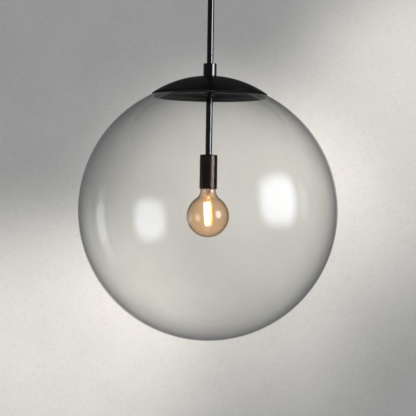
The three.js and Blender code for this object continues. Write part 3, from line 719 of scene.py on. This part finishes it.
def bulbGlass(look=bulbLook):
    low, high = heights("bulb_glass")
    radius = halfWidth("bulb_glass")
    wall = look["wall"] * mm
    neck = look["neckRadius"] * mm
    fillet = look["fillet"] * mm
    bend = look["shoulderBend"] * mm
    centre = low + radius
    across = radius + fillet
    reach = math.degrees(math.acos((neck + fillet) / across))
    filletHeight = centre + across * math.sin(math.radians(reach))
    shoulder = filletHeight + look["neckStraight"] * mm
    neckTop = shoulder + look["shoulder"] * mm
    inner = halfWidth("bulb_base_shell") - look["seat"] * mm
    steps, around = look["globeSteps"], look["filletSteps"]
    outside = [*arc(0, centre, radius, -90, reach, steps),
               *arc(neck + fillet, filletHeight, fillet, 180 + reach, 180, around)[1:],
               *arc(neck - bend, shoulder, bend, 0, 60, 5),
               (inner, neckTop), (inner, high)]
    inside = [(inner - wall, high), (inner - wall, neckTop - wall / 4),
              *arc(neck - bend, shoulder - wall / 4, bend - wall, 60, 0, 5),
              *arc(neck + fillet, filletHeight, fillet + wall, 180, 180 + reach, around)[:-1],
              *arc(0, centre, radius - wall, reach, -90, steps)]
    glass = piece("bulbGlass", turned(outside + inside, 96), "bulb", ["bulb_glass"], "amber_glass", smooth=60)
    glass.visible_shadow = False


baseLook = {"skirt": 4, "skirtStep": 0.1, "skirtOverlap": 0.5, "skirtEdge": 0.3, "wall": 0.3, "roof": 0.4,
            "insulatorStep": 0.6, "insulatorRim": 0.8, "insulatorTop": 5.2, "insulatorEdge": 0.2,
            "beadStep": 0.5, "beadEdge": 0.15}


def bulbBase(look=baseLook, form=rolledThread):
    low, high = heights("bulb_base_shell")
    outer = halfWidth("bulb_base_shell")
    skirt = low + look["skirt"] * mm
    depth = form["baseDepth"] * mm
    rolled = capEnds(thread(outer, depth, form["pitch"] * mm, skirt, high, form["sides"], rolled=True))
    sleeve = rod(outer - look["skirtStep"] * mm, low, skirt + look["skirtOverlap"] * mm, form["sides"],
                 look["skirtEdge"] * mm)
    hollow = rod(outer - depth - look["wall"] * mm, low - past, high - look["roof"] * mm, form["sides"])
    shell = carved(carved(rolled, [sleeve], "UNION"), [hollow])
    piece("bulbBaseShell", shell, "bulb", ["bulb_base_shell"], "nickel_brass")

    low, high = heights("bulb_base_insulator")
    outer = halfWidth("bulb_base_insulator")
    profile = [(0, low), (outer, low), (outer - look["insulatorStep"] * mm, low + look["insulatorRim"] * mm),
               (look["insulatorTop"] * mm, high), (0, high)]
    insulator = turned(profile, 64, look["insulatorEdge"] * mm)
    piece("bulbBaseInsulator", insulator, "bulb", ["bulb_base_insulator"], "phenolic")

    low, high = heights("bulb_base_contact")
    outer = halfWidth("bulb_base_contact")
    step = low + look["beadStep"] * mm
    bead = [(0, low), (outer, low), (outer, step), *arc(0, step, outer, 20, 90, 6)]
    bead = turned([(r, min(z, high)) for r, z in bead], 48, look["beadEdge"] * mm)
    piece("bulbBaseContact", bead, "bulb", ["bulb_base_contact"], "nickel_brass")


# The glass mount from the tip up: the pinch that grips the wires, the drawn tube, then the flare that seals
# to the neck. The first radii go with heights above the tip, the others with depths under the flare's top.
mountLook = {"tipRadius": 1.6, "tipRise": 1.2, "pinch": [(2.4, 5), (3.4, 9)],
             "flare": [(4, 12), (5, 7), (7.5, 3)], "filament": 1.5, "filamentTip": 0.6, "wire": 0.4,
             "leadSag": -1.2, "anchorRise": 1.0}


def bulbMount(look=mountLook):
    low, high = heights("bulb_stem")
    tip = look["tipRadius"] * mm
    profile = [(0, low + look["tipRise"] * mm), *arc(0, low + tip, tip, -80, 0, 4),
               *[(r * mm, low + z * mm) for r, z in look["pinch"]],
               *[(r * mm, high - z * mm) for r, z in look["flare"]],
               (halfWidth("bulb_stem"), high), (0, high)]
    piece("bulbMount", turned(profile, 48), "bulb", ["bulb_stem"], "mount_glass", smooth=50)
    radius, cap = look["filament"] * mm, look["filamentTip"] * mm
    for i in range(4):
        node = "filament_%d" % (i + 1)
        bottom, top = nodeEnds(node)
        length = (top - bottom).length
        stick = turned([(0, 0), *arc(radius - cap, cap, cap, -90, 0, 4),
                        *arc(radius - cap, length - cap, cap, 0, 90, 4), (0, length)], 24)
        placed(stick, along(top - bottom, bottom))
        finish = "dim_phosphor" if i == 0 else "phosphor"
        lit = piece("filament%d" % (i + 1), stick, "bulb", [node], "phosphor", finish, 60)
        lit.visible_diffuse = False
    for side in ("left", "right"):
        for stem, name, bow in (("bulb_lead_", "bulbLead", look["leadSag"]),
                                ("filament_anchor_", "filamentAnchor", look["anchorRise"])):
            bottom, top = nodeEnds(stem + side)
            middle = (bottom + top) / 2 + Vector((0, 0, bow * mm))
            bent = wire([bottom, middle, top], look["wire"] * mm)
            piece(name + side.title(), bent, "bulb", [stem + side], "nickel_wire", smooth=60)


bulbGlass()
bulbBase()
bulbMount()
print("bulb made")


def pressRibs(bm, faces, inset, depth):
    # fine ribs to grip, pressed out of every other face round the axis
    faces.sort(key=lambda f: math.atan2(f.calc_center_median().y, f.calc_center_median().x))
    bmesh.ops.inset_individual(bm, faces=faces[::2], thickness=inset * mm, depth=depth * mm)


canopyLook = {"wall": 1.5, "corner": 6.0, "rim": 0.4, "rimInside": 0.3, "nippleGap": 0.3, "studHole": 2.4}
studLook = {"threadDepth": 0.25, "pitch": 0.8, "nutGap": 0.2}
# the round nuts under the canopy
thumbNut = {"sideStep": 0.3, "boreRadius": 2.3, "boreFrom": 2.5, "ribs": 24, "ribInset": 0.08,
            "ribDepth": 0.3}


def canopyAndFixings(look=canopyLook):
    low, high = heights("ceiling_canopy")
    outer = halfWidth("ceiling_canopy")
    wall = look["wall"] * mm
    bend = look["corner"] * mm
    rim, rimInside = look["rim"] * mm, look["rimInside"] * mm
    bore = halfWidth("swivel_nipple") + look["nippleGap"] * mm
    profile = [(bore, low), *arc(outer - bend, low + bend, bend, -90, 0, 10), (outer, high - rim),
               (outer - rim, high), (outer - wall + rimInside, high), (outer - wall, high - rimInside),
               *arc(outer - bend, low + bend, bend - wall, 0, -90, 10), (bore, low + wall)]
    studs = {side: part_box("canopy_stud_" + side) for side in ("left", "right")}
    centres = {side: (box[0].x + box[1].x) / 2 for side, box in studs.items()}
    holes = [placed(rod(look["studHole"] * mm, low - past, low + wall + past, 32),
                    Matrix.Translation((x, 0, 0))) for x in centres.values()]
    canopy = carved(turned(profile, 128), holes)
    piece("ceilingCanopy", canopy, "ceiling_mount", ["ceiling_canopy"], "satin_black")
    for side, x in centres.items():
        studAndNuts(side, (studs[side][1].x - studs[side][0].x) / 2, Matrix.Translation((x, 0, 0)))


def studAndNuts(side, radius, shift, look=studLook, form=thumbNut):
    label = side.title()
    node = "canopy_stud_" + side
    stud = capEnds(thread(radius, look["threadDepth"] * mm, look["pitch"] * mm, *heights(node), 20))
    piece("canopyStud" + label, placed(stud, shift), "ceiling_mount", [node], "zinc_steel")

    node = "stud_locknut_" + side
    nut = hexNut(2 * corner(node, False).y, radius + look["nutGap"] * mm, *heights(node))
    piece("studLocknut" + label, placed(nut, shift), "ceiling_mount", [node], "zinc_steel")

    node = "canopy_nut_" + side
    bottom, top = heights(node)
    radius = corner(node, False).y
    flank = radius - form["sideStep"] * mm
    bore, roof = form["boreRadius"] * mm, bottom + form["boreFrom"] * mm
    dome = [(0, bottom), *arc(0, bottom + radius, flank, -84, -8, 8), (flank, top), (bore, top), (bore, roof),
            (0, roof)]
    nut = turned(dome, form["ribs"] * 2)
    grip = [f for f in nut.faces if f.calc_center_median().z > bottom + radius * 0.95
            and abs(f.normal.z) < 0.2 and Vector(f.calc_center_median().xy).length > radius * 0.8]
    pressRibs(nut, grip, form["ribInset"], form["ribDepth"])
    piece("canopyNut" + label, placed(nut, shift), "ceiling_mount", [node], "satin_black")


bracketLook = {"bracketEdge": 0.3, "rimChamfer": 0.6, "shank": 2.0, "under": 0.3, "screwEdge": 0.15,
               "slotReach": 0.9, "slotWidth": 1.0, "slotDepth": 1.1}


def bracketAndScrew(look=bracketLook):
    bracket = nodeCopy("mounting_bracket", look["bracketEdge"] * mm)
    piece("mountingBracket", bracket, "ceiling_mount", ["mounting_bracket"], "zinc_steel")
    low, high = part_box("ground_screw")
    head = (high.x - low.x) / 2
    centre = (high.x + low.x) / 2
    chamfer, shank = look["rimChamfer"] * mm, look["shank"] * mm
    neck = corner("mounting_bracket").z - look["under"] * mm
    screw = turned([(0, low.z), (head - chamfer, low.z), (head, low.z + chamfer), (head, neck), (shank, neck),
                    (shank, high.z), (0, high.z)], 40, look["screwEdge"] * mm)
    slot = slotTool(head * look["slotReach"], look["slotWidth"] * mm, low.z - past,
                    low.z + look["slotDepth"] * mm)
    screw = placed(carved(screw, [slot]), Matrix.Translation((centre, 0, 0)))
    piece("groundScrew", screw, "ceiling_mount", ["ground_screw"], "green_paint")


# the cone's radii and lengths are shares of its mouth and its length, all but the bore and the rim
connectorLook = {"bore": 2.6, "boreDepth": 0.88, "rim": 0.6, "rimTaper": 0.2, "rimLength": 0.2,
                 "shoulder": 0.72, "shoulderAt": 0.85, "tip": 0.5, "ribInset": 0.1, "ribDepth": 0.3}


def wiring(look=connectorLook):
    for node, name, slotName in (("live_lead", "liveLead", "black_sheath"),
                                 ("neutral_lead", "neutralLead", "white_sheath"),
                                 ("ground_lead", "groundLead", "green_sheath")):
        piece(name, nodeCopy(node), "ceiling_mount", [node], slotName, smooth=60)
    bore = look["bore"] * mm
    for node, name in (("live_connector", "liveConnector"), ("neutral_connector", "neutralConnector")):
        low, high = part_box(node)
        centre = (low + high) / 2
        length = high.y - low.y
        mouth = (high.x - low.x) / 2
        roof = length * look["boreDepth"]
        cone = turned([(0, roof), (bore, roof), (bore, 0), (mouth - look["rim"] * mm, 0),
                       (mouth - look["rimTaper"] * mm, length * look["rimLength"]),
                       (mouth * look["shoulder"], length * look["shoulderAt"]), (mouth * look["tip"], length),
                       (0, length)], 32)
        flanks = [f for f in cone.faces if abs(f.normal.z) < 0.3 and f.calc_area() > 5e-6
                  and Vector(f.calc_center_median().xy).length > mouth * 0.7]
        pressRibs(cone, flanks, look["ribInset"], look["ribDepth"])
        placed(cone, along((0, 1, 0), (centre.x, low.y, centre.z)))
        piece(name, cone, "ceiling_mount", [node], "white_sheath")


canopyAndFixings()
bracketAndScrew()
wiring()
print("ceiling parts made")


swivelLook = {"yokeEdge": 0.5, "knuckleEdge": 0.4, "nippleGap": 0.3, "washerEdge": 0.2, "shank": 2.5,
              "headDepth": 2.4, "headChamfer": 0.8, "endChamfer": 0.5, "slotWidth": 1.0, "slotDepth": 1.2,
              "pinEdge": 0.12, "nutFlats": 8, "nutGap": 0.2}


def swivelJoint(look=swivelLook):
    yoke = nodeCopy("swivel_yoke", look["yokeEdge"] * mm, 3)
    piece("swivelYoke", yoke, "swivel", ["swivel_yoke"], "satin_black")
    knuckle = nodeCopy("swivel_knuckle", look["knuckleEdge"] * mm, 3)
    piece("swivelKnuckle", knuckle, "stem", ["swivel_knuckle"], "satin_black")
    bore = halfWidth("swivel_nipple") + look["nippleGap"] * mm
    washer = tube(bore, halfWidth("swivel_washer"), *heights("swivel_washer"), 48, look["washerEdge"] * mm)
    piece("swivelWasher", washer, "swivel", ["swivel_washer"], "zinc_steel")
    nut = hexNut(2 * corner("swivel_nut", False).y, bore, *heights("swivel_nut"))
    piece("swivelNut", nut, "swivel", ["swivel_nut"], "zinc_steel")


def swivelPin(look=swivelLook):
    low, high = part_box("swivel_pin")
    onAxis = along((0, 1, 0), (0, 0, (low.z + high.z) / 2))
    head = (high.z - low.z) / 2
    shank = look["shank"] * mm
    under = low.y + look["headDepth"] * mm
    bevel, end = look["headChamfer"] * mm, look["endChamfer"] * mm
    pin = turned([(0, low.y), (head - bevel, low.y), (head, low.y + bevel), (head, under), (shank, under),
                  (shank, high.y - end), (shank - end, high.y), (0, high.y)], 48)
    slot = slotTool(head, look["slotWidth"] * mm, low.y - past, low.y + look["slotDepth"] * mm)
    pin = softenEdges(carved(pin, [slot]), look["pinEdge"] * mm)
    piece("swivelPin", placed(pin, onAxis), "swivel", ["swivel_pin"], "zinc_steel")
    low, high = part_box("swivel_pin_nut")
    nut = hexNut(look["nutFlats"] * mm, shank + look["nutGap"] * mm, low.y, high.y)
    piece("swivelPinNut", placed(nut, onAxis), "swivel", ["swivel_pin_nut"], "zinc_steel")


swivelJoint()
swivelPin()
print("swivel made")


stageLook = {"radius": 6.2, "floor": -3.9, "top": 4.6, "cove": 1.6, "glow": 0.13, "mirrored": 0.04}
# trowelled lime plaster: matt, with soft blotches and small pits
plaster = {"blotch": 620, "blotchDark": "dcdcdb", "blotchLight": "e4e4e3", "pits": 24, "pitDark": "e2e2e2",
           "pitShare": 0.25, "pitDepth": 4}


def dimmedMirror(tree, place, direct, level):
    # The wall is dim in most reflections, so that black metal stays black. It still shows in two: a glancing
    # one of the low wall behind the lamp, and one in the globe's own wall, after two passes through glass.
    dim = addNode(tree, "Emission", {"Color": linear("f2f6fa"), "Strength": level})
    depth = addNode(tree, "LightPath", output="Transmission Depth")
    bounces = addNode(tree, "LightPath", output="Glossy Depth")
    toBack = addNode(tree, "SeparateXYZ", {"Vector": place}, "Y")
    height = addNode(tree, "SeparateXYZ", {"Vector": place}, "Z")
    behind = addNode(tree, "MapRange", {"Value": toBack, "From Min": 1.0, "From Max": 4.0, "To Max": 0.8},
                     interpolation_type="SMOOTHSTEP")
    low = addNode(tree, "MapRange", {"Value": height, "From Min": -0.4, "From Max": 3.2, "To Min": 1,
                                     "To Max": 0}, interpolation_type="SMOOTHSTEP")
    around = addNode(tree, "MapRange", {"Value": toBack, "From Min": -1.0, "From Max": 2.0},
                     interpolation_type="SMOOTHSTEP")
    entered = addNode(tree, "MapRange", {"Value": depth, "From Min": 0.4, "From Max": 0.6})
    leaving = addNode(tree, "MapRange", {"Value": depth, "From Min": 2.4, "From Max": 2.6, "To Min": 1,
                                         "To Max": 0})
    # weaker on what hangs inside the globe
    outside = addNode(tree, "MapRange", {"Value": depth, "From Min": 2.4, "From Max": 2.6, "To Min": 1,
                                         "To Max": 0.3})
    mirrored = addNode(tree, "MapRange", {"Value": bounces, "From Min": 0.4, "From Max": 0.6})
    glancing = addNode(tree, "Math", {0: behind, 1: low}, operation="MULTIPLY")
    glancing = addNode(tree, "Math", {0: glancing, 1: outside}, operation="MULTIPLY")
    inWall = addNode(tree, "Math", {0: around, 1: entered}, operation="MULTIPLY")
    inWall = addNode(tree, "Math", {0: inWall, 1: leaving}, operation="MULTIPLY")
    shown = addNode(tree, "Math", {0: glancing, 1: inWall}, operation="MAXIMUM")
    hidden = addNode(tree, "Math", {0: 1, 1: shown}, operation="SUBTRACT")
    share = addNode(tree, "Math", {0: hidden, 1: mirrored}, operation="MULTIPLY")
    return addNode(tree, "MixShader", {0: share, 1: direct, 2: dim})


def studioWall(look=stageLook):
    # one surface of revolution: floor, a rounded cove and the wall
    radius, floor, cove = look["radius"], look["floor"], look["cove"]
    profile = [(0, floor), *arc(radius - cove, floor + cove, cove, -90, 0, 12), (radius, look["top"])]
    mesh = makeMesh(spun(profile, 128), "studioWall")
    mesh.shade_smooth()
    wall = bpy.data.objects.new("studioWall", mesh)
    scene.collection.objects.link(wall)
    material, tree, shader, place = startMaterial("trowelledPlaster")
    blotch = addNode(tree, "TexNoise", {"Vector": place, "Scale": perMetre(plaster["blotch"]), "Detail": 4,
                                        "Roughness": 0.6})
    pits = addNode(tree, "TexNoise", {"Vector": place, "Scale": perMetre(plaster["pits"]), "Detail": 5,
                                      "Roughness": 0.65, "Distortion": 0.4})
    tones = ((0.3, plaster["blotchDark"]), (0.7, plaster["blotchLight"]))
    broad = addNode(tree, "ValToRGB", {"Fac": blotch}, stops=tones)
    fine = addNode(tree, "ValToRGB", {"Fac": pits}, stops=((0.34, plaster["pitDark"]), (0.5, "ffffff")))
    colour = addNode(tree, "Mix", {0: plaster["pitShare"], 6: broad, 7: fine}, 2, data_type="RGBA",
                     blend_type="MULTIPLY")
    setInputs(tree, shader, {
        "Base Color": colour, "Emission Color": colour, "Emission Strength": look["glow"], "Roughness": 0.9,
        "Normal": addNode(tree, "Bump", {"Height": pits, "Strength": 0.4,
                                         "Distance": plaster["pitDepth"] * mm})})
    direct = shader.outputs["BSDF"]
    setInputs(tree, tree.nodes["Material Output"],
              {"Surface": dimmedMirror(tree, place, direct, look["mirrored"])})
    material.cycles.emission_sampling = "NONE"
    mesh.materials.append(material)


lampCentre = corner("glass_globe").z + halfWidth("glass_globe")


def direction(azimuth, elevation):
    # azimuth is to the right of the camera, as seen from the lamp
    a, e = math.radians(azimuth), math.radians(elevation)
    return Vector((math.sin(a) * math.cos(e), -math.cos(a) * math.cos(e), math.sin(e)))


windowLook = {"azimuth": 60.7, "elevation": 8.5, "distance": 2.23, "width": 1.86, "height": 1.92,
              "strength": 5.2, "softness": 0.58, "tint": "eef5ff"}
stripLook = {"azimuth": -105, "elevation": -7, "distance": 5.5, "width": 1.6, "height": 2.9,
             "strength": 0.95, "softness": 0.6, "tint": "f6f8ff"}


def softbox(name, look):
    # a lit panel, round at the corners and soft at the edges
    # it shows only in reflections, so it never hides the lamp from a side view
    bm = bmesh.new()
    bmesh.ops.create_grid(bm, x_segments=1, y_segments=1, size=0.5)
    bmesh.ops.scale(bm, vec=(look["width"], look["height"], 1), verts=bm.verts)
    mesh = makeMesh(bm, name)
    panel = bpy.data.objects.new(name, mesh)
    scene.collection.objects.link(panel)
    towards = direction(look["azimuth"], look["elevation"])
    panel.location = Vector((0, 0, lampCentre)) + towards * look["distance"]
    panel.rotation_euler = towards.to_track_quat("Z", "Y").to_euler()
    material = bpy.data.materials.new(name)
    material.use_nodes = True
    tree = material.node_tree
    tree.nodes.clear()
    place = addNode(tree, "TexCoord", output="Object")
    cubes = []
    for axis, size in (("X", look["width"]), ("Y", look["height"])):
        across = addNode(tree, "SeparateXYZ", {"Vector": place}, axis)
        share = addNode(tree, "Math", {0: across, 1: size / 2}, operation="DIVIDE")
        away = addNode(tree, "Math", {0: share}, operation="ABSOLUTE")
        cubes.append(addNode(tree, "Math", {0: away, 1: 3}, operation="POWER"))
    total = addNode(tree, "Math", {0: cubes[0], 1: cubes[1]}, operation="ADD")
    fromMiddle = addNode(tree, "Math", {0: total, 1: 1 / 3}, operation="POWER")
    strength = addNode(tree, "MapRange", {"Value": fromMiddle, "From Min": 1 - look["softness"],
                                          "To Min": look["strength"], "To Max": 0},
                       interpolation_type="SMOOTHSTEP")
    glow = addNode(tree, "Emission", {"Color": linear(look["tint"]), "Strength": strength})
    clear = addNode(tree, "BsdfTransparent")
    bounces = addNode(tree, "LightPath", output="Glossy Depth")
    mirrored = addNode(tree, "Math", {0: bounces, 1: 0.5}, operation="GREATER_THAN")
    both = addNode(tree, "MixShader", {0: mirrored, 1: clear, 2: glow})
    setInputs(tree, tree.nodes.new("ShaderNodeOutputMaterial"), {"Surface": both})
    mesh.materials.append(material)
    panel.visible_diffuse = False
    panel.visible_shadow = False


def hideLamp(lamp):
    # it lights the scene without showing in the glass
    lamp.visible_glossy = False
    lamp.visible_transmission = False
    scene.collection.objects.link(lamp)


# Three spots make the slanting band of light on the wall. Each stands in front of its target and above it.
spotLook = {"depth": 1.8, "above": 2.4, "inward": 0.4, "cone": 31, "blend": 1.0, "radius": 0.25,
            "tint": "fff8ee"}
wallSpots = {
    "spotLowerLeft": {"target": (-1.15, 6.0, -1.65), "power": 640},
    "spotMiddle": {"target": (0.2, 6.2, -0.7), "power": 660},
    "spotUpperRight": {"target": (1.6, 6.0, 0.2), "power": 600},
}


def wallSpot(name, target, power, look=spotLook):
    data = bpy.data.lights.new(name, "SPOT")
    data.energy = power
    data.spot_size = math.radians(look["cone"])
    data.spot_blend = look["blend"]
    data.shadow_soft_size = look["radius"]
    data.color = linear(look["tint"])[:3]
    lamp = bpy.data.objects.new(name, data)
    place = (target[0] * look["inward"], look["depth"], target[2] + look["above"])
    lamp.location = place
    lamp.rotation_euler = (Vector(place) - Vector(target)).to_track_quat("Z", "Y").to_euler()
    hideLamp(lamp)


# the lit filaments' light on the metal and wires near them
filamentGlow = {"power": 1.2, "tint": "ffb765", "radius": 0.012}


def filamentLight(look=filamentGlow):
    data = bpy.data.lights.new("filamentLight", "POINT")
    data.energy = look["power"]
    data.color = linear(look["tint"])[:3]
    data.shadow_soft_size = look["radius"]
    lamp = bpy.data.objects.new("filamentLight", data)
    bottom, top = nodeEnds("filament_2")
    lamp.location = (0, 0, (bottom.z + top.z) / 2)
    hideLamp(lamp)


# The room is dimmer in reflections, so that black metal stays black.
roomLook = {"tint": "f2f6fa", "strength": 0.26, "mirrored": 0.05}


def roomLight(look=roomLook):
    world = bpy.data.worlds.new("studio")
    scene.world = world
    world.use_nodes = True
    tree = world.node_tree
    mirrored = addNode(tree, "LightPath", output="Is Glossy Ray")
    level = addNode(tree, "MapRange", {"Value": mirrored, "To Min": look["strength"],
                                       "To Max": look["mirrored"]})
    setInputs(tree, tree.nodes["Background"], {"Color": linear(look["tint"]), "Strength": level})


studioWall()
roomLight()
softbox("windowPanel", windowLook)
softbox("stripPanel", stripLook)
for name, look in wallSpots.items():
    wallSpot(name, look["target"], look["power"])
filamentLight()


cameraLook = {"distance": 2.238, "lens": 100, "aimAbove": 0.0056, "aimRight": 0.0002, "roll": 0.88}


def camera(look=cameraLook):
    data = bpy.data.cameras.new("camera")
    data.lens = look["lens"]
    data.sensor_width = 36
    data.clip_end = 100
    eye = bpy.data.objects.new("camera", data)
    eye.location = (look["aimRight"], -look["distance"], lampCentre + look["aimAbove"])
    eye.rotation_euler = (math.radians(90), -math.radians(look["roll"]), 0)
    scene.collection.objects.link(eye)
    scene.camera = eye


camera()
scene.view_settings.view_transform = "Standard"
print("stage and camera ready")
